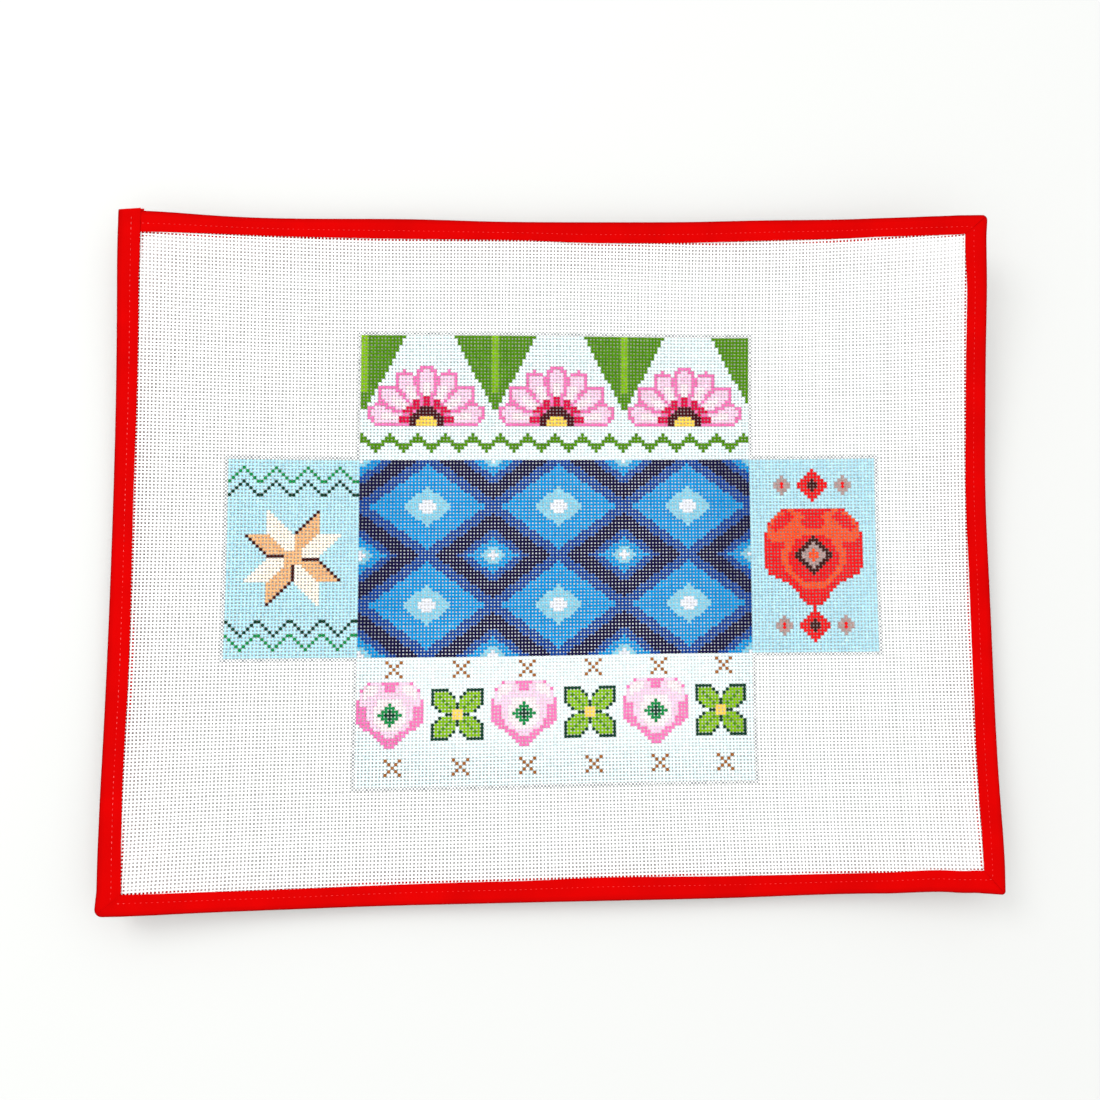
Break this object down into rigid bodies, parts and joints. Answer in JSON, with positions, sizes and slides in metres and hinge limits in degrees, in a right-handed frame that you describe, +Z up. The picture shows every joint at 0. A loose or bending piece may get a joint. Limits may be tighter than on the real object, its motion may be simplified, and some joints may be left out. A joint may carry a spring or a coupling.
{
  "type": "needlepoint canvas panel",
  "caption": "Stiff mono needlepoint canvas with a painted fold-up cover design, bound on all edges with folded cotton tape, curled up a little at its edges.",
  "frame": {"origin": "middle of the flat patch that the cloth rests on, which is also the middle of the cloth", "axes": "+X along the long side, to the right as the design is read; +Y towards the top edge of the design; +Z up, out of the painted face"},
  "size_m": [0.4535, 0.3531, 0.0375],
  "materials": {
    "canvas": "stiff sized cotton mono canvas, matt, with a painted design",
    "binding": "matt red cotton tape"
  },
  "bodies": {
    "root": {"canvas": "canvas", "binding": "binding"}
  },
  "joints": []
}
